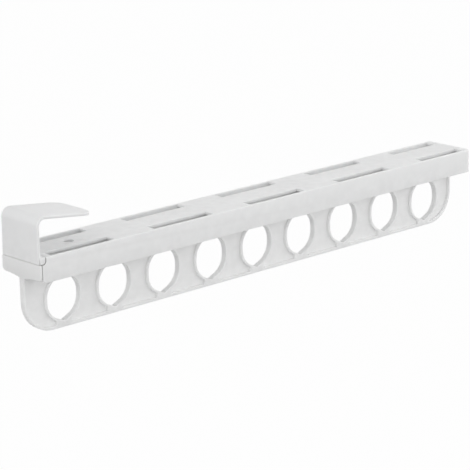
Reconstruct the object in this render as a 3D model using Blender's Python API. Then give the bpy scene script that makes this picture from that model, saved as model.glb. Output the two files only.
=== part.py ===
"""Pull-out hanger rail for a wardrobe, hooked on the front edge of a shelf.

The object is three plastic mouldings. The rail is a channel that lies against the shelf's
underside. The shelf clip plugs into the rail's front end and folds back over the shelf. The
hanger slide runs inside the channel and carries a plate with a row of holes for hanger hooks.

Frame: metres, +Z up. The origin is the middle of the rail's top face. The front end is at -X,
and the slide pulls out towards it.
"""

import math

import bmesh
import bpy
from mathutils import Vector

mm = 0.001

# Rail: a channel, open below
rail_length = 400 * mm
rail_width = 40 * mm
rail_height = 16.8 * mm
wall = 2 * mm
rear_corner_radius = 2.4 * mm
front_foot_radius = 3.5 * mm
rail_edge_radius = 0.7 * mm

# Guide ledges along the foot of both side walls, each under a slot of its own size in the top wall
ledge_count = 5
ledge_pitch = 85.3 * mm
first_ledge = 8.2 * mm
ledge_length = 51.8 * mm
last_ledge_margin = 6 * mm
ledge_width = 8 * mm
ledge_thickness = 2 * mm
slot_clearance = 0.2 * mm

# Stiffening ribs under the top wall, beside the inner edges of the slots
rib_width = 1.8 * mm
rib_depth = 1 * mm

# Seat for the clip in the rail's front end, and the window that its latch stud snaps into
seat_depth = 3 * mm
seat_height = 5 * mm
seat_radius = 2.6 * mm
seat_gap = 0.5 * mm
window_offset = 36.6 * mm
window_radius = 3.5 * mm

# Shelf clip: a bent strip on a cross bar, with a latch arm inside the rail
clip_width = 37 * mm
strip_thickness = 2.2 * mm
strip_edge_radius = 0.8 * mm
clip_overhang = 2.2 * mm
clip_rise = 26 * mm
bend_radius = 6.3 * mm
tongue_tilt = math.radians(7.2)
tongue_reach = 44 * mm
tongue_corner_radius = 7 * mm
latch_arm_length = 44 * mm
latch_arm_width = 13 * mm
latch_arm_thickness = 2.1 * mm
stud_radius = 2.7 * mm
stud_sink = 1.3 * mm

# Hanger plate: a thin web with raised rims round its edge and round each hole
plate_length = 400 * mm
plate_depth = 38.7 * mm
plate_overhang = 1.8 * mm
plate_corner_radius = 22 * mm
rim_thickness = 4.5 * mm
web_thickness = 0.6 * mm
edge_rim_width = 2 * mm
end_rim_width = 1.4 * mm
top_rim_width = 4 * mm

# Hook holes: a round top, short upright sides and a V at the foot that centres the hook
hole_count = 9
hole_pitch = 42.5 * mm
first_hole = 31.4 * mm
hole_radius = 13.4 * mm
hole_drop = 17.6 * mm
hole_upright = 2.4 * mm
hole_half_angle = math.radians(65)
hole_rim_width = 1.55 * mm
hole_pad_width = 12.6 * mm

# Slide head, which runs on the ledges, and its rear guide, which is also the stop
head_wall = 1.8 * mm
head_floor = 2 * mm
head_tail = 5 * mm
guide_offset = 318 * mm
guide_width = 23 * mm
guide_wall = 2 * mm

# Front cap of the slide, which closes the rail below the clip
cap_top_gap = 0.4 * mm
cap_back_gap = 0.5 * mm
cap_edge_radius = 0.9 * mm
cap_corner_radius = 3 * mm
cap_foot = 1.4 * mm
cap_belly = 2.2 * mm

gap = 0.3 * mm
overlap = 0.5 * mm

white_plastic = (0.84, 0.85, 0.85, 1.0)

# Stations worked out from the sizes above
front = -rail_length / 2
rear = rail_length / 2
rail_foot = -rail_height
ceiling = -wall
inner_half_width = rail_width / 2 - wall
seat_floor = -seat_height
bar_floor = seat_floor + seat_gap
clip_front = front - clip_overhang
plate_front = front - plate_overhang
plate_rear = plate_front + plate_length
plate_foot = rail_foot - plate_depth
hole_crown_height = rail_foot - hole_drop
hole_base_height = hole_crown_height - hole_upright
head_underside = rail_foot + ledge_thickness + gap
head_top = seat_floor - gap


def clear_scene():
    """Empties the scene."""
    for item in list(bpy.data.objects):
        bpy.data.objects.remove(item, do_unlink=True)


def arc(centre, radius, start, end, steps):
    """Points of an arc in a plane, from one angle to another."""
    turn = (end - start) / steps
    return [
        (centre[0] + radius * math.cos(start + turn * step), centre[1] + radius * math.sin(start + turn * step))
        for step in range(steps + 1)
    ]


def rounded(corners, steps=6):
    """Outline through corners (a, b, radius), with an arc in place of each corner that has a radius."""
    outline = []
    for place, (a, b, radius) in enumerate(corners):
        corner = Vector((a, b))
        if radius == 0:
            outline.append((a, b))
            continue
        back = (Vector(corners[place - 1][:2]) - corner).normalized()
        onward = (Vector(corners[(place + 1) % len(corners)][:2]) - corner).normalized()
        half_angle = back.angle(onward) / 2
        centre = corner + (back + onward).normalized() * radius / math.sin(half_angle)
        reach = radius / math.tan(half_angle)
        first = corner + back * reach - centre
        last = corner + onward * reach - centre
        start = math.atan2(first.y, first.x)
        turn = math.remainder(math.atan2(last.y, last.x) - start, math.tau)
        outline += arc(centre, radius, start, start + turn, steps)
    return outline


def rectangle(low_a, high_a, low_b, high_b, radius=0):
    """Corners of a rectangle, all with one radius."""
    return [(low_a, low_b, radius), (high_a, low_b, radius), (high_a, high_b, radius), (low_a, high_b, radius)]


def in_space(plane, a, b, height):
    """Point at (a, b) in a plane, raised along the plane's normal."""
    return {"xy": (a, b, height), "xz": (a, height, b), "yz": (height, a, b)}[plane]


def as_object(name, shape):
    """Puts a finished shape into the scene as an object."""
    bmesh.ops.recalc_face_normals(shape, faces=shape.faces)
    mesh = bpy.data.meshes.new(name)
    shape.to_mesh(mesh)
    shape.free()
    item = bpy.data.objects.new(name, mesh)
    bpy.context.scene.collection.objects.link(item)
    return item


def bridge(shape, rings):
    """Skins a row of equal rings of vertices and closes both ends."""
    count = len(rings[0])
    for near, far in zip(rings, rings[1:]):
        for place in range(count):
            following = (place + 1) % count
            shape.faces.new((near[place], near[following], far[following], far[place]))
    shape.faces.new(rings[0])
    shape.faces.new(rings[-1])


def prisms(name, outlines, plane, low, high):
    """Straight prisms on one or more outlines, between two heights along the plane's normal."""
    shape = bmesh.new()
    for outline in outlines:
        rings = [
            [shape.verts.new(in_space(plane, a, b, height)) for a, b in outline]
            for height in (low, high)
        ]
        bridge(shape, rings)
    return as_object(name, shape)


def soften(item, radius, chosen):
    """Rounds the edges that the test chooses by their two ends."""
    shape = bmesh.new()
    shape.from_mesh(item.data)
    edges = [edge for edge in shape.edges if chosen(edge.verts[0].co, edge.verts[1].co)]
    bmesh.ops.bevel(shape, geom=edges, offset=radius, segments=2, profile=0.5, affect="EDGES")
    shape.to_mesh(item.data)
    shape.free()


def combine(item, tool, operation):
    """Adds a tool's solid to an item, or cuts it away, and removes the tool."""
    tool.hide_render = True
    tool.display_type = "WIRE"
    step = item.modifiers.new(tool.name, "BOOLEAN")
    step.operation = operation
    step.solver = "EXACT"
    step.object = tool
    view = bpy.context.evaluated_depsgraph_get()
    finished = bpy.data.meshes.new_from_object(item.evaluated_get(view))
    item.modifiers.remove(step)
    item.data = finished
    bpy.data.objects.remove(tool, do_unlink=True)


def finish(item, roughness):
    """Gives a moulding its material and shades its round stretches smooth."""
    item.data.name = item.name
    item.data.shade_smooth()
    item.data.set_sharp_from_angle(angle=math.radians(28))
    material = bpy.data.materials.new(item.name)
    material.use_nodes = True
    shader = material.node_tree.nodes["Principled BSDF"]
    shader.inputs["Base Color"].default_value = white_plastic
    shader.inputs["Roughness"].default_value = roughness
    shader.inputs["Metallic"].default_value = 0.0
    item.data.materials.clear()
    item.data.materials.append(material)


def ledge_spans():
    """Both ends of each ledge and of the slot above it. The last ones are cut short by the rear wall."""
    starts = [front + first_ledge + ledge_pitch * place for place in range(ledge_count)]
    return [(start, min(start + ledge_length, rear - last_ledge_margin)) for start in starts]


def ledge_outlines(inner, outer):
    """Plan of the ledges on both sides, between two distances from the middle."""
    outlines = []
    for start, end in ledge_spans():
        for side in (-1, 1):
            low, high = sorted((side * inner, side * outer))
            outlines.append(rounded(rectangle(start, end, low, high)))
    return outlines


def seat_outline(inset, top):
    """Side view of the clip's seat in the rail, or of the bar that fills it with an inset all round."""
    fore = clip_front + strip_thickness / 2
    back = front + seat_depth - inset
    return rounded([
        (fore, seat_floor + inset, 0),
        (back, seat_floor + inset, seat_radius - inset),
        (back, top, 0),
        (fore, top, 0),
    ])


def make_rail():
    """Channel with a closed rear end, guide ledges, slots and the seat for the clip."""
    half = rail_width / 2
    plan = rounded([
        (front, -half, 0),
        (rear, -half, rear_corner_radius),
        (rear, half, rear_corner_radius),
        (front, half, 0),
    ])
    rail = prisms("rail", [plan], "xy", rail_foot, 0)
    soften(rail, rail_edge_radius, lambda one, two: min(one.z, two.z) > -gap and max(one.x, two.x) > front + gap)
    inner_corner = rear_corner_radius - wall
    hollow = rounded([
        (front - overlap, -inner_half_width, 0),
        (rear - wall, -inner_half_width, inner_corner),
        (rear - wall, inner_half_width, inner_corner),
        (front - overlap, inner_half_width, 0),
    ])
    combine(rail, prisms("hollow", [hollow], "xy", rail_foot - overlap, ceiling), "DIFFERENCE")
    ledge_edge = inner_half_width - ledge_width
    ledges = ledge_outlines(ledge_edge, inner_half_width + overlap)
    combine(rail, prisms("ledges", ledges, "xy", rail_foot, rail_foot + ledge_thickness), "UNION")
    rib_edge = ledge_edge - 2 * slot_clearance
    rib_rear = rear - wall + overlap
    ribs = [rounded(rectangle(front, rib_rear, *sorted((side * rib_edge, side * (rib_edge - rib_width)))))
            for side in (-1, 1)]
    combine(rail, prisms("ribs", ribs, "xy", ceiling - rib_depth, ceiling + overlap), "UNION")
    slots = ledge_outlines(ledge_edge - slot_clearance, inner_half_width + slot_clearance)
    combine(rail, prisms("slots", slots, "xy", ceiling - overlap, overlap), "DIFFERENCE")
    window = arc((front + window_offset, 0), window_radius, 0, math.tau, 32)[:-1]
    combine(rail, prisms("window", [window], "xy", ceiling - overlap, overlap), "DIFFERENCE")
    combine(rail, prisms("seat", [seat_outline(0, overlap)], "xz", -rail_width, rail_width), "DIFFERENCE")
    turn_centre = (front + front_foot_radius, rail_foot + front_foot_radius)
    foot_corner = [
        (front - overlap, turn_centre[1]),
        (front - overlap, rail_foot - overlap),
        (turn_centre[0], rail_foot - overlap),
        *arc(turn_centre, front_foot_radius, math.pi * 1.5, math.pi, 8),
    ]
    combine(rail, prisms("foot_corner", [foot_corner], "xz", -rail_width, rail_width), "DIFFERENCE")
    finish(rail, 0.42)
    return rail


def strip_stations():
    """Middle line of the clip's strip from the bar to the tip: point, outward normal and half-width."""
    half_width = clip_width / 2
    middle_radius = bend_radius - strip_thickness / 2
    bend_centre = Vector((clip_front + bend_radius, clip_rise - bend_radius))
    outward = Vector((-1, 0))
    stations = [
        (Vector((bend_centre.x - middle_radius, bar_floor)), outward, half_width),
        (Vector((bend_centre.x - middle_radius, 0)), outward, half_width),
    ]
    bend_steps = 12
    for step in range(bend_steps + 1):
        turn = math.pi - step / bend_steps * (math.pi / 2 + tongue_tilt)
        outward = Vector((math.cos(turn), math.sin(turn)))
        stations.append((bend_centre + outward * middle_radius, outward, half_width))
    bend_end = stations[-1][0]
    along = Vector((math.cos(tongue_tilt), -math.sin(tongue_tilt)))
    straight = (front + tongue_reach - bend_end.x) / along.x
    corner_steps = 8
    for step in range(corner_steps + 1):
        turn = step / corner_steps * math.pi / 2
        reach = straight - strip_edge_radius - tongue_corner_radius * (1 - math.sin(turn))
        width = half_width - tongue_corner_radius * (1 - math.cos(turn))
        stations.append((bend_end + along * reach, outward, width))
    return stations, along


def strip_ring(shape, point, outward, half_width, half_thickness):
    """Rounded rectangular section of the strip, square to its middle line."""
    edge = min(strip_edge_radius, half_thickness * 0.9)
    section = rounded(rectangle(-half_width, half_width, -half_thickness, half_thickness, edge), 3)
    ring = []
    for across, rise in section:
        spot = point + outward * rise
        ring.append(shape.verts.new((spot.x, across, spot.y)))
    return ring


def make_clip():
    """Bent strip over the shelf, the cross bar in the rail's seat, and the latch arm with its stud."""
    shape = bmesh.new()
    stations, along = strip_stations()
    half_thickness = strip_thickness / 2
    rings = [strip_ring(shape, point, outward, width, half_thickness) for point, outward, width in stations]
    tip, outward, width = stations[-1]
    nose = half_thickness - strip_edge_radius / 2.4
    slimmer = [
        (strip_edge_radius * 0.6, half_thickness - strip_edge_radius * 0.2),
        (strip_edge_radius, nose - strip_edge_radius * 0.2),
    ]
    for reach, thickness in slimmer:
        rings.append(strip_ring(shape, tip + along * reach, outward, width, thickness))
    bridge(shape, rings)
    clip = as_object("shelf_clip", shape)
    bar_end = rail_width / 2 - gap
    combine(clip, prisms("bar", [seat_outline(seat_gap, 0)], "xz", -bar_end, bar_end), "UNION")
    arm_top = ceiling - gap
    arm = rounded(rectangle(front, front + latch_arm_length, -latch_arm_width / 2, latch_arm_width / 2, 1 * mm), 3)
    combine(clip, prisms("latch_arm", [arm], "xy", arm_top - latch_arm_thickness, arm_top), "UNION")
    stud = arc((front + window_offset, 0), stud_radius, 0, math.tau, 24)[:-1]
    stud_top = -stud_sink
    latch_stud = prisms("latch_stud", [stud], "xy", arm_top - overlap, stud_top)
    soften(latch_stud, 0.4 * mm, lambda one, two: min(one.z, two.z) > stud_top - gap / 2)
    combine(clip, latch_stud, "UNION")
    finish(clip, 0.4)
    return clip


def hole_middle(place):
    """Middle line of a hook hole in the plate, counted from the front."""
    return plate_front + first_hole + hole_pitch * place


def hole_outline(place):
    """Half circle, upright sides, and arcs that run into the two sides of the V."""
    x = hole_middle(place)
    crown = arc((x, hole_crown_height), hole_radius, 0, math.pi, 22)
    near = arc((x, hole_base_height), hole_radius, math.pi, math.pi + hole_half_angle, 8)
    far = arc((x, hole_base_height), hole_radius, -hole_half_angle, 0, 8)
    point = (x, hole_base_height - hole_radius / math.sin(hole_half_angle))
    return crown + near + [point] + far


def rim_side(place, side, low, high):
    """Outer edge of a hole's rim on one side: up from the pad under the hole, then round the hole."""
    radius = hole_radius + hole_rim_width
    pad = hole_pad_width / 2
    lower = arc((0, hole_base_height), radius, -math.acos(pad / radius), 0, 8)
    upper = arc((0, hole_crown_height), radius, 0, math.asin((high - hole_crown_height) / radius), 8)
    return [(hole_middle(place) + side * a, b) for a, b in [(pad, low)] + lower + upper]


def pocket_outlines():
    """The web's pockets: one between each two holes, and one at each end of the plate."""
    low = plate_foot + edge_rim_width
    high = rail_foot - top_rim_width
    outlines = []
    for place in range(hole_count - 1):
        left = rim_side(place, 1, low, high)
        right = rim_side(place + 1, -1, low, high)
        outlines.append(left + right[::-1])
    corner_width = plate_corner_radius - end_rim_width
    corner_height = plate_corner_radius - edge_rim_width
    ends = ((0, -1, plate_front + end_rim_width), (hole_count - 1, 1, plate_rear - end_rim_width))
    for place, side, end in ends:
        x, z = end - side * corner_width, low + corner_height
        sweep = arc((0, 0), 1, 0, -math.pi / 2, 10)
        outer = [(end, high)] + [(x + side * corner_width * a, z + corner_height * b) for a, b in sweep]
        outlines.append(rim_side(place, side, low, high) + outer)
    return outlines


def cap_outline():
    """Front view of the cap: straight sides and a lower edge that dips towards the plate."""
    half = rail_width / 2
    foot = rail_foot + cap_foot
    steps = 16
    lower = []
    for step in range(2, steps - 1):
        across = -half + 2 * half * step / steps
        lower.append((across, foot - cap_belly * (1 - abs(across) / half) ** 2, 0))
    top = bar_floor - cap_top_gap
    return rounded([
        (half, top, cap_edge_radius),
        (-half, top, cap_edge_radius),
        (-half, foot, cap_corner_radius),
        *lower,
        (half, foot, cap_corner_radius),
    ], 4)


def make_slide():
    """Hanger plate under a channel-shaped head, with the front cap and the rear guide."""
    half = rim_thickness / 2
    profile = rounded([
        (plate_front, head_underside + overlap, 0),
        (plate_front, plate_foot, plate_corner_radius),
        (plate_rear, plate_foot, plate_corner_radius),
        (plate_rear, rail_foot - gap, 0),
        (rear - head_tail, rail_foot - gap, 0),
        (rear - head_tail, head_underside + overlap, 0),
    ], 16)
    slide = prisms("hanger_slide", [profile], "xz", -half, half)
    holes = [hole_outline(place) for place in range(hole_count)]
    combine(slide, prisms("holes", holes, "xz", -rim_thickness, rim_thickness), "DIFFERENCE")
    pockets = pocket_outlines()
    for side in (-1, 1):
        low, high = sorted((side * web_thickness / 2, side * rim_thickness))
        combine(slide, prisms("pockets", pockets, "xz", low, high), "DIFFERENCE")
    outer = inner_half_width - gap
    inner = outer - head_wall
    floor_top = head_underside + head_floor
    channel = rounded([
        (-outer, head_underside, 0.6 * mm),
        (outer, head_underside, 0.6 * mm),
        (outer, head_top, 0.6 * mm),
        (inner, head_top, 0.6 * mm),
        (inner, floor_top, 1 * mm),
        (-inner, floor_top, 1 * mm),
        (-inner, head_top, 0.6 * mm),
        (-outer, head_top, 0.6 * mm),
    ], 2)
    combine(slide, prisms("head", [channel], "yz", front - 2 * overlap, rear - head_tail), "UNION")
    cap_back = front - cap_back_gap
    cap = prisms("cap", [cap_outline()], "yz", plate_front, cap_back)
    soften(cap, cap_edge_radius, lambda one, two: max(one.x, two.x) < plate_front + gap / 2)
    combine(slide, cap, "UNION")
    stop = front + guide_offset
    tail = rear - head_tail - gap
    reach = guide_width / 2
    guide = [
        (stop, -reach),
        (tail, -reach),
        (tail, -reach + guide_wall),
        (stop + guide_wall, -reach + guide_wall),
        (stop + guide_wall, reach - guide_wall),
        (tail, reach - guide_wall),
        (tail, reach),
        (stop, reach),
    ]
    guide_top = ceiling - rib_depth - gap
    combine(slide, prisms("guide", [guide], "xy", floor_top - overlap, guide_top), "UNION")
    finish(slide, 0.42)
    return slide


clear_scene()
make_rail()
make_clip()
make_slide()
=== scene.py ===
"""White pull-out hanger rail, hooked over a shelf's edge, as three satin plastic mouldings.

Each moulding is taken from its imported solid, welded, and given the small edge radii that it has
from the mould. Rail and slide also get the marks of the mould's pins, and the clip the stub of its
gate. Metres, +Z up, the front end at -X.
"""

import math

import bpy
from mathutils import Matrix, Vector


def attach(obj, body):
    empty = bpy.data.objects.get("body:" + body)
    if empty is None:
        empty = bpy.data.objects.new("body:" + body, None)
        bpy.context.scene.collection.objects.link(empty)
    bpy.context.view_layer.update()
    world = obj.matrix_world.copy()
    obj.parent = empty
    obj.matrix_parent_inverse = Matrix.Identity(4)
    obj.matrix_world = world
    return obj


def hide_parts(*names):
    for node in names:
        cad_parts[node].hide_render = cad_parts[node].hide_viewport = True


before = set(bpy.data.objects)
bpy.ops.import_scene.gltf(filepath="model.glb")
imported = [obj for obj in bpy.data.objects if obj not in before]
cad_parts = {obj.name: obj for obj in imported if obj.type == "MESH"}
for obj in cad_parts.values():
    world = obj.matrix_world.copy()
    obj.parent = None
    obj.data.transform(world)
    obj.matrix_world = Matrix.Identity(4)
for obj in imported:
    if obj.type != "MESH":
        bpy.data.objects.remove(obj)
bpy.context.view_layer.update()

mm = 0.001

# Edges of the mouldings
weld_distance = 0.03 * mm
flat_angle = math.radians(0.5)
sharp_angle = math.radians(28)
smooth_angle = math.radians(30)
edge_radius = 0.28 * mm
clip_edge_radius = 0.13 * mm
radius_steps = 3

# Places on the rail: its front end, the underside of its top wall, the back of the clip's seat,
# and the narrow steps under the rims of its slots
rail_front = -0.2
rail_ceiling = -2 * mm
seat_back = rail_front + 3 * mm
slot_outer_side = 18.1 * mm
slot_inner_side = 9.7 * mm
slot_step_width = 0.15 * mm
slot_step_height = 0.6 * mm

# Places on the clip: the round tip of its tongue
tongue_tip_from = -160 * mm
tongue_underside = 15 * mm

# Places on the slide: the roots of the plate and of the head's walls in the front cap, the foot of
# the rear guide, and the holes and pockets of the plate
cap_back = rail_front - 0.4 * mm
plate_root_from = -18 * mm
plate_root_reach = 3 * mm
head_root_from = -6 * mm
head_wall_inside = 15.5 * mm
head_wall_outside = 18 * mm
guide_end = 194.7 * mm
head_floor = -12.5 * mm
pocket_top = -20.8 * mm
web_face = 0.3 * mm
hole_count = 9
hole_pitch = 42.5 * mm
first_hole = -170.4 * mm

# Joint between clip and rail, whose faces are painted darker as shade: how far it goes, and how far
# the faces in it turn to the side, down, or to the other piece
joint_top = -0.4 * mm
joint_foot = -5 * mm
joint_slack = 0.1 * mm
side_turn_limit = 0.5
down_turn_limit = 0.2
least_turn = 0.3

# Marks of the mould
pin_mark_radius = 2.2 * mm
pin_mark_rise = 0.07 * mm
pin_mark_lip = 0.3 * mm
pin_mark_sides = 28
top_turn = 0.9
rail_pin_offsets = (76 * mm, 160 * mm, 246 * mm, 330 * mm, 384 * mm)
web_pin_height = -36 * mm
gate_radius = 1.1 * mm
gate_taper = 0.75
gate_length = 0.9 * mm
gate_sides = 24
gate_place = Vector((rail_front - 0.15 * mm, 0, 12 * mm))
gate_crater = ((0.22 * mm, -0.2 * mm), (0.2 * mm, 0.12 * mm))

# Plastic
refraction = 1.49
gloss_level = 0.4
glow_depth = 0.85 * mm
cloud_depth = 0.02
cloud_roughness = (-0.03, 0.04)
# Painted highlight: how much lighter the rounded edges are made
painted_highlight_lift = 1.03
polished_roughness = 0.08
streak_fade = 0.94
streak_roughness = 0.12
streak_length_scale = 0.012
grain_strength = 0.25
grain_height = 0.03 * mm
# Painted shade: the grey of the faces in the joint between clip and rail, where shade falls in the
# gap
painted_shade_grey = (0.62, 0.62, 0.61, 1.0)
white = (1.0, 1.0, 1.0, 1.0)

# Room
world_strength = 0.69
lamp_target = Vector((0, 0, -0.02))
floor_size = 14
floor_height = -0.75
floor_grey = (0.58, 0.58, 0.58, 1.0)
floor_white_share = 0.98

# Camera, as the photograph was taken
camera_azimuth = math.radians(-42.63)
camera_elevation = math.radians(15.61)
camera_roll = math.radians(0.94)
camera_place = Vector((-1.00518, -1.07197, 0.38117))
focal_pixels = 2212.6
picture_pixels = 470
sensor_width = 36.0


def work_on(piece):
    """Leaves one piece selected and active."""
    bpy.ops.object.select_all(action="DESELECT")
    piece.select_set(True)
    bpy.context.view_layer.objects.active = piece


def welded_copy(node, name):
    """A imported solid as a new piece: its triangles are welded and its flat faces made whole."""
    piece = bpy.data.objects.new(name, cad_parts[node].data.copy())
    piece.data.name = name
    bpy.context.scene.collection.objects.link(piece)
    work_on(piece)
    bpy.ops.object.mode_set(mode="EDIT")
    bpy.ops.mesh.select_all(action="SELECT")
    bpy.ops.mesh.remove_doubles(threshold=weld_distance)
    bpy.ops.mesh.customdata_custom_splitnormals_clear()
    bpy.ops.mesh.dissolve_limited(angle_limit=flat_angle)
    bpy.ops.object.mode_set(mode="OBJECT")
    piece.data.materials.clear()
    return piece


def sharp_edges(piece):
    """Numbers of the edges where two faces meet at a clear angle."""
    normals_at = {}
    for face in piece.data.polygons:
        for key in face.edge_keys:
            normals_at.setdefault(key, []).append(face.normal)
    sharp = []
    for edge in piece.data.edges:
        normals = normals_at[edge.key]
        if len(normals) == 2 and normals[0].angle(normals[1]) > sharp_angle:
            sharp.append(edge.index)
    return sharp


def mark_corners(piece, name, chosen):
    """Keeps in an attribute of the corners which faces are chosen."""
    marked = piece.data.attributes.new(name, "FLOAT", "POINT")
    for face in piece.data.polygons:
        if chosen(face):
            for corner in face.vertices:
                marked.data[corner].value = 1.0


def round_edges(piece, radius, left_sharp):
    """Rolls a small radius along the sharp edges and keeps where it went in an attribute."""
    work_on(piece)
    piece.data.materials.append(None)
    piece.data.materials.append(None)
    share = piece.data.attributes.new("bevel_weight_edge", "FLOAT", "EDGE")
    spots = piece.data.vertices
    for number in sharp_edges(piece):
        one, two = piece.data.edges[number].vertices
        share.data[number].value = 0.0 if left_sharp(spots[one].co, spots[two].co) else 1.0
    step = piece.modifiers.new("edge_radius", "BEVEL")
    step.width = radius
    step.segments = radius_steps
    step.limit_method = "WEIGHT"
    step.use_clamp_overlap = False
    step.material = 1
    bpy.ops.object.modifier_apply(modifier=step.name)
    mark_corners(piece, "rolled_edge", lambda face: face.material_index == 1)
    for face in piece.data.polygons:
        face.material_index = 0
    piece.data.materials.clear()
    bpy.ops.object.shade_smooth_by_angle(angle=smooth_angle)


def mould_mark(place, rise, sides, foot_radius, top_radius, length, top_steps):
    """Round stump across a face, its top inset and moved along the rise step by step."""
    bpy.ops.object.select_all(action="DESELECT")
    bpy.ops.mesh.primitive_cone_add(
        vertices=sides, radius1=foot_radius, radius2=top_radius, depth=length,
        location=place, rotation=rise.to_track_quat("Z", "Y").to_euler(),
    )
    mark = bpy.context.active_object
    bpy.ops.object.mode_set(mode="EDIT")
    bpy.ops.mesh.select_mode(type="FACE")
    bpy.ops.mesh.select_all(action="DESELECT")
    bpy.ops.object.mode_set(mode="OBJECT")
    for face in mark.data.polygons:
        face.select = face.normal.z > top_turn
    bpy.ops.object.mode_set(mode="EDIT")
    for inset, move in top_steps:
        bpy.ops.mesh.inset(thickness=inset)
        bpy.ops.transform.translate(value=rise * move)
    bpy.ops.object.mode_set(mode="OBJECT")
    work_on(mark)
    bpy.ops.object.transform_apply(location=True, rotation=True, scale=True)
    return mark


def pin_mark(place, rise):
    """Round mark of a mould pin: a low disc with a sunk middle, its face along the rise."""
    return mould_mark(
        place, rise, pin_mark_sides, pin_mark_radius, pin_mark_radius, 4 * pin_mark_rise,
        [(pin_mark_lip, -pin_mark_rise)],
    )


def gate_mark(place, rise):
    """Torn-off stub of the gate that the plastic came in by: a short cone with a crater."""
    return mould_mark(
        place, rise, gate_sides, gate_radius, gate_taper * gate_radius, gate_length, gate_crater
    )


def join_to(piece, marks):
    """Makes the marks part of the moulding they belong to, as one closed skin."""
    work_on(piece)
    for mark in marks:
        step = piece.modifiers.new("mark", "BOOLEAN")
        step.operation = "UNION"
        step.solver = "EXACT"
        step.object = mark
        bpy.ops.object.modifier_apply(modifier=step.name)
        bpy.data.objects.remove(mark, do_unlink=True)
    bpy.ops.object.shade_smooth_by_angle(angle=smooth_angle)


def add_group(name, inputs, outputs):
    """Empty shader group with number inputs and outputs."""
    group = bpy.data.node_groups.new(name, "ShaderNodeTree")
    for label, value in inputs:
        socket = group.interface.new_socket(label, in_out="INPUT", socket_type="NodeSocketFloat")
        socket.default_value = value
    for label in outputs:
        group.interface.new_socket(label, in_out="OUTPUT", socket_type="NodeSocketFloat")
    return group, group.nodes.new("NodeGroupInput"), group.nodes.new("NodeGroupOutput")


def spread(tree, source, low, high, new_low=0.0, new_high=1.0):
    """Maps a range of values onto another, held at both ends."""
    node = tree.nodes.new("ShaderNodeMapRange")
    node.clamp = True
    node.inputs["From Min"].default_value = low
    node.inputs["From Max"].default_value = high
    node.inputs["To Min"].default_value = new_low
    node.inputs["To Max"].default_value = new_high
    tree.links.new(source, node.inputs["Value"])
    return node.outputs["Result"]


def sums(tree, operation, first, second):
    """One step of arithmetic on two values, either of which may be a plain number."""
    node = tree.nodes.new("ShaderNodeMath")
    node.operation = operation
    for place, value in enumerate((first, second)):
        if isinstance(value, (int, float)):
            node.inputs[place].default_value = value
        else:
            tree.links.new(value, node.inputs[place])
    return node.outputs["Value"]


def add_noise(tree, per_metre, detail, length_scale=1.0, roughness=0.5):
    """Noise in the piece's own coordinates, drawn out along X by a small length scale."""
    place = tree.nodes.new("ShaderNodeTexCoord")
    drawn = tree.nodes.new("ShaderNodeMapping")
    drawn.inputs["Scale"].default_value = (length_scale, 1.0, 1.0)
    noise = tree.nodes.new("ShaderNodeTexNoise")
    noise.inputs["Detail"].default_value = detail
    noise.inputs["Roughness"].default_value = roughness
    tree.links.new(place.outputs["Object"], drawn.inputs["Vector"])
    tree.links.new(drawn.outputs["Vector"], noise.inputs["Vector"])
    tree.links.new(per_metre, noise.inputs["Scale"])
    return noise.outputs["Fac"]


def make_satin_grain():
    """Fine spark-eroded mould texture, and the slow clouding of a large plastic face."""
    tree, given, result = add_group(
        "satin_grain",
        [("Grain per metre", 2600.0), ("Clouds per metre", 38.0)],
        ["Grain", "Clouds"],
    )
    grain = add_noise(tree, given.outputs["Grain per metre"], detail=2.0, roughness=0.6)
    clouds = add_noise(tree, given.outputs["Clouds per metre"], detail=3.0)
    tree.links.new(grain, result.inputs["Grain"])
    tree.links.new(spread(tree, clouds, low=0.3, high=0.7), result.inputs["Clouds"])
    return tree


def make_patches(name, attribute, per_metre, label, low, high, least):
    """A marked part of the surface, broken up into patches that go down to a least value."""
    tree, given, result = add_group(name, [("Patches per metre", per_metre)], [label])
    marked = tree.nodes.new("ShaderNodeAttribute")
    marked.attribute_name = attribute
    patches = add_noise(tree, given.outputs["Patches per metre"], detail=2.0)
    uneven = spread(tree, patches, low, high, least)
    shown = sums(tree, "MULTIPLY", marked.outputs["Fac"], uneven)
    tree.links.new(shown, result.inputs[label])
    return tree


def make_slide_marks():
    """Hairline streaks along the rail, from the slide going in and out."""
    tree, given, result = add_group(
        "slide_marks", [("Streaks per metre", 1500.0), ("Share", 0.3)], ["Streaks"]
    )
    streaks = add_noise(
        tree, given.outputs["Streaks per metre"], detail=1.0, length_scale=streak_length_scale
    )
    thin = spread(tree, streaks, low=0.6, high=0.74)
    shown = sums(tree, "MULTIPLY", thin, given.outputs["Share"])
    tree.links.new(shown, result.inputs["Streaks"])
    return tree


def place_group(tree, group):
    """Puts a shared group into a material's tree, with the group's own values."""
    node = tree.nodes.new("ShaderNodeGroup")
    node.node_tree = group
    return node


def blend_colours(tree, share, first, second):
    """Mixes two colours by a share that varies over the surface."""
    node = tree.nodes.new("ShaderNodeMix")
    node.data_type = "RGBA"
    tree.links.new(share, node.inputs["Factor"])
    for label, colour in (("A", first), ("B", second)):
        socket = next(s for s in node.inputs if s.name == label and s.type == "RGBA")
        if isinstance(colour, tuple):
            socket.default_value = colour
        else:
            tree.links.new(colour, socket)
    return next(s for s in node.outputs if s.type == "RGBA")


def mix_shaders(tree, share, first, second):
    """Goes from one shader to another by a share."""
    node = tree.nodes.new("ShaderNodeMixShader")
    tree.links.new(share, node.inputs["Fac"])
    tree.links.new(first, node.inputs[1])
    tree.links.new(second, node.inputs[2])
    return node.outputs["Shader"]


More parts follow.
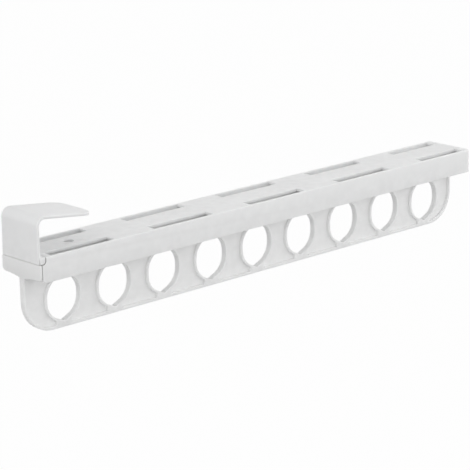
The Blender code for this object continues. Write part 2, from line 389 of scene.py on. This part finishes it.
def white_plastic(name, colour, roughness, streak_share, groups):
    """Satin white moulding: clouded white, fine grain, glossy edges with a painted highlight,
    streaks, and painted shade in the joint.
    """
    material = bpy.data.materials.new(name)
    material.use_nodes = True
    tree = material.node_tree
    grain = place_group(tree, groups["satin_grain"])
    rub_and_highlight = place_group(tree, groups["edge_rub_and_highlight"]).outputs["Rub and highlight"]
    marks = place_group(tree, groups["slide_marks"])
    marks.inputs["Share"].default_value = streak_share
    streaks = marks.outputs["Streaks"]
    joint_shade = place_group(tree, groups["joint_painted_shade"]).outputs["Painted shade"]
    clouds = grain.outputs["Clouds"]

    shade = [value - cloud_depth for value in colour]
    edge_highlight_colour = tuple(value * painted_highlight_lift for value in colour) + (1.0,)
    greyed = tuple(value * streak_fade for value in shade) + (1.0,)
    tone = blend_colours(tree, clouds, (*colour, 1.0), (*shade, 1.0))
    # Painted highlight on the rounded edges, which are also rubbed glossy through lower roughness
    tone = blend_colours(tree, rub_and_highlight, tone, edge_highlight_colour)
    tone = blend_colours(tree, streaks, tone, greyed)
    # Painted shade: the faces in the joint between clip and rail are turned grey, so the gap looks
    # darker
    tone = blend_colours(tree, joint_shade, tone, painted_shade_grey)

    smooth, rough = (roughness + change for change in cloud_roughness)
    rough = spread(tree, clouds, 0.0, 1.0, smooth, rough)
    rough = sums(tree, "ADD", rough, sums(tree, "MULTIPLY", streaks, streak_roughness))
    rough = sums(tree, "SUBTRACT", rough, sums(tree, "MULTIPLY", rub_and_highlight, polished_roughness))

    bump = tree.nodes.new("ShaderNodeBump")
    bump.inputs["Strength"].default_value = grain_strength
    bump.inputs["Distance"].default_value = grain_height
    tree.links.new(grain.outputs["Grain"], bump.inputs["Height"])

    shader = tree.nodes["Principled BSDF"]
    shader.inputs["Metallic"].default_value = 0.0
    shader.inputs["IOR"].default_value = refraction
    shader.inputs["Specular IOR Level"].default_value = gloss_level
    shader.inputs["Subsurface Weight"].default_value = 1.0
    shader.inputs["Subsurface Radius"].default_value = (1.0, 1.0, 1.0)
    shader.inputs["Subsurface Scale"].default_value = glow_depth
    tree.links.new(tone, shader.inputs["Base Color"])
    tree.links.new(rough, shader.inputs["Roughness"])
    tree.links.new(bump.outputs["Normal"], shader.inputs["Normal"])
    return material


def finish_moulding(piece, node, body, material):
    """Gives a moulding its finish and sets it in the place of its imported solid."""
    piece.data.materials.append(material)
    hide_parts(node)
    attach(piece, body)


def near(value, target, slack=0.1 * mm):
    """Says if a measure is within some slack of a target."""
    return abs(value - target) < slack


def beside_slot(one, two):
    """Says if an edge of the rail belongs to the narrow steps under the rims of the slots."""
    ends = (one, two)
    under = all(near(spot.z, rail_ceiling, slot_step_height) for spot in ends)
    outer = all(near(abs(spot.y), slot_outer_side, slot_step_width) for spot in ends)
    inner = all(near(abs(spot.y), slot_inner_side, slot_step_width) for spot in ends)
    return under and (outer or inner)


def at_tongue_tip(one, two):
    """Says if an edge lies round the tip of the tongue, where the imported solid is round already."""
    return all(spot.x > tongue_tip_from and spot.z > tongue_underside for spot in (one, two))


def near_another(one, two):
    """Says if an edge of the slide has another one so near that there is no room for the radius."""
    ends = (one, two)
    in_cap = all(spot.x < cap_back for spot in ends)
    plate_root = all(
        spot.z > plate_root_from and abs(spot.y) < plate_root_reach for spot in ends
    )
    head_root = all(
        spot.z > head_root_from and head_wall_inside < abs(spot.y) < head_wall_outside
        for spot in ends
    )
    guide_foot = all(near(spot.x, guide_end) and near(spot.z, head_floor) for spot in ends)
    over_pocket = all(near(spot.z, pocket_top) for spot in ends)
    return (in_cap and (plate_root or head_root)) or guide_foot or over_pocket


def rail_in_joint(face):
    """Says if a face of the rail is turned to the clip: a back or a foot of the clip's seat."""
    in_seat = face.center.x < seat_back + joint_slack and face.center.z < joint_top
    turned_aside = abs(face.normal.y) >= side_turn_limit
    turned_down = face.normal.z <= -down_turn_limit
    return in_seat and not turned_aside and not turned_down


def clip_in_joint(face):
    """Says if a face of the clip is turned to the rail: the back or the foot of its cross bar."""
    in_seat = face.center.x < seat_back and joint_foot < face.center.z < joint_top
    return in_seat and (face.normal.x > least_turn or face.normal.z < -least_turn)


def make_rail(material):
    """Channel rail with pin marks under its top wall."""
    rail = welded_copy("rail", "rail_moulding")
    round_edges(rail, edge_radius, beside_slot)
    places = [Vector((rail_front + offset, 0, rail_ceiling)) for offset in rail_pin_offsets]
    join_to(rail, [pin_mark(place, Vector((0, 0, -1))) for place in places])
    mark_corners(rail, "in_joint", rail_in_joint)
    finish_moulding(rail, "rail", "rail", material)


def make_clip(material):
    """Bent clip, with the gate mark on the face that the shelf hides."""
    clip = welded_copy("shelf_clip", "shelf_clip_moulding")
    round_edges(clip, clip_edge_radius, at_tongue_tip)
    join_to(clip, [gate_mark(gate_place, Vector((1, 0, 0)))])
    mark_corners(clip, "in_joint", clip_in_joint)
    finish_moulding(clip, "shelf_clip", "rail", material)


def make_slide(material):
    """Hanger plate with its head, and pin marks on the far side of the webs between the holes."""
    slide = welded_copy("hanger_slide", "hanger_slide_moulding")
    round_edges(slide, edge_radius, near_another)
    places = [
        Vector((first_hole + hole_pitch * (count + 0.5), web_face, web_pin_height))
        for count in range(hole_count - 1)
    ]
    join_to(slide, [pin_mark(place, Vector((0, 1, 0))) for place in places])
    finish_moulding(slide, "hanger_slide", "slide", material)


def make_camera():
    """Long lens a little above the rail, off its front corner."""
    half_pixel = 0.5 / picture_pixels
    lens = bpy.data.cameras.new("camera")
    lens.sensor_width = sensor_width
    lens.lens = focal_pixels / picture_pixels * sensor_width
    lens.shift_x = -half_pixel
    lens.shift_y = half_pixel
    lens.clip_start = 0.05
    lens.clip_end = 60.0
    camera = bpy.data.objects.new("camera", lens)
    bpy.context.scene.collection.objects.link(camera)
    flat = math.cos(camera_elevation)
    back = Vector((
        math.sin(camera_azimuth) * flat,
        -math.cos(camera_azimuth) * flat,
        math.sin(camera_elevation),
    ))
    right = (-back).cross(Vector((0, 0, 1))).normalized()
    down = (-back).cross(right)
    level = right * math.cos(camera_roll) + down * math.sin(camera_roll)
    up = right * math.sin(camera_roll) - down * math.cos(camera_roll)
    turn = Matrix((level, up, back)).transposed().to_4x4()
    camera.matrix_world = Matrix.Translation(camera_place) @ turn
    bpy.context.scene.camera = camera


def soft_lamp(name, place, width, height, brightness):
    """Soft box aimed at the rail's middle. A brightness of 1 is a white wall in full light."""
    light = bpy.data.lights.new(name, "AREA")
    light.shape = "RECTANGLE"
    light.size = width
    light.size_y = height
    light.energy = brightness * math.pi * width * height
    lamp = bpy.data.objects.new(name, light)
    bpy.context.scene.collection.objects.link(lamp)
    lamp.location = place
    lamp.visible_camera = False
    lamp.visible_glossy = False
    lamp.rotation_euler = (Vector(place) - lamp_target).to_track_quat("Z", "Y").to_euler()


def white_for_the_eye(tree):
    """Share of rays that meet plain white: those of the camera, of gloss and of clear parts."""
    path = tree.nodes.new("ShaderNodeLightPath")
    share = sums(tree, "MAXIMUM", path.outputs["Is Camera Ray"], path.outputs["Is Glossy Ray"])
    return sums(tree, "MAXIMUM", share, path.outputs["Is Transmission Ray"])


def even_glow(tree, kind, strength):
    """White background or emission of one strength."""
    node = tree.nodes.new(kind)
    node.inputs["Color"].default_value = white
    node.inputs["Strength"].default_value = strength
    return node.outputs[0]


def make_light():
    """Even studio light, with soft boxes in front, at the front right and at both ends."""
    world = bpy.data.worlds.new("studio")
    bpy.context.scene.world = world
    world.use_nodes = True
    tree = world.node_tree
    tree.nodes.clear()
    output = tree.nodes.new("ShaderNodeOutputWorld")
    soft = even_glow(tree, "ShaderNodeBackground", world_strength)
    plain = even_glow(tree, "ShaderNodeBackground", 1.0)
    seen = mix_shaders(tree, white_for_the_eye(tree), soft, plain)
    tree.links.new(seen, output.inputs["Surface"])
    soft_lamp("front_lamp", (0.0, -1.6, 0.45), width=2.8, height=0.9, brightness=0.45)
    soft_lamp("front_right_lamp", (1.3, -1.3, 0.35), width=1.4, height=0.9, brightness=1.15)
    soft_lamp("close_right_lamp", (0.9, -0.9, 0.3), width=0.8, height=0.6, brightness=0.15)
    soft_lamp("right_lamp", (1.8, -0.3, 0.3), width=1.4, height=0.8, brightness=1.4)
    soft_lamp("left_lamp", (-1.8, -0.2, 0.3), width=1.4, height=0.8, brightness=1.5)


def make_floor():
    """Pale floor well below the rail, white to the eye and clear when seen from underneath."""
    bpy.ops.object.select_all(action="DESELECT")
    bpy.ops.mesh.primitive_plane_add(size=floor_size, location=(0, 0, floor_height))
    floor = bpy.context.active_object
    floor.name = "floor"
    bpy.ops.object.transform_apply(location=True, rotation=True, scale=True)
    material = bpy.data.materials.new("floor_white")
    material.use_nodes = True
    tree = material.node_tree
    tree.nodes.clear()
    output = tree.nodes.new("ShaderNodeOutputMaterial")
    matt = tree.nodes.new("ShaderNodeBsdfDiffuse")
    matt.inputs["Color"].default_value = floor_grey
    glow = even_glow(tree, "ShaderNodeEmission", 1.0)
    share = sums(tree, "MULTIPLY", white_for_the_eye(tree), floor_white_share)
    above = mix_shaders(tree, share, matt.outputs["BSDF"], glow)
    below = tree.nodes.new("ShaderNodeBsdfTransparent")
    side = tree.nodes.new("ShaderNodeNewGeometry")
    seen = mix_shaders(tree, side.outputs["Backfacing"], above, below.outputs["BSDF"])
    tree.links.new(seen, output.inputs["Surface"])
    floor.data.materials.append(material)


# The edge group is for edges that hands and hooks have rubbed glossy, made lighter there as a painted
# highlight; the joint group paints shade on the faces between clip and rail
finish_groups = {
    "satin_grain": make_satin_grain(),
    "edge_rub_and_highlight": make_patches(
        "edge_rub_and_highlight", "rolled_edge", 170.0, "Rub and highlight", low=0.35, high=0.7, least=0.0
    ),
    "slide_marks": make_slide_marks(),
    "joint_painted_shade": make_patches(
        "joint_painted_shade", "in_joint", 90.0, "Painted shade", low=0.3, high=0.7, least=0.7
    ),
}
rail_white = white_plastic(
    "rail_white", (0.89, 0.893, 0.893), roughness=0.42, streak_share=0.10, groups=finish_groups
)
clip_white = white_plastic(
    "clip_white", (0.90, 0.903, 0.906), roughness=0.40, streak_share=0.04, groups=finish_groups
)
slide_white = white_plastic(
    "slide_white", (0.89, 0.892, 0.89), roughness=0.42, streak_share=0.14, groups=finish_groups
)

make_rail(rail_white)
make_clip(clip_white)
make_slide(slide_white)
make_camera()
make_light()
make_floor()

bpy.context.scene.view_settings.view_transform = "Standard"
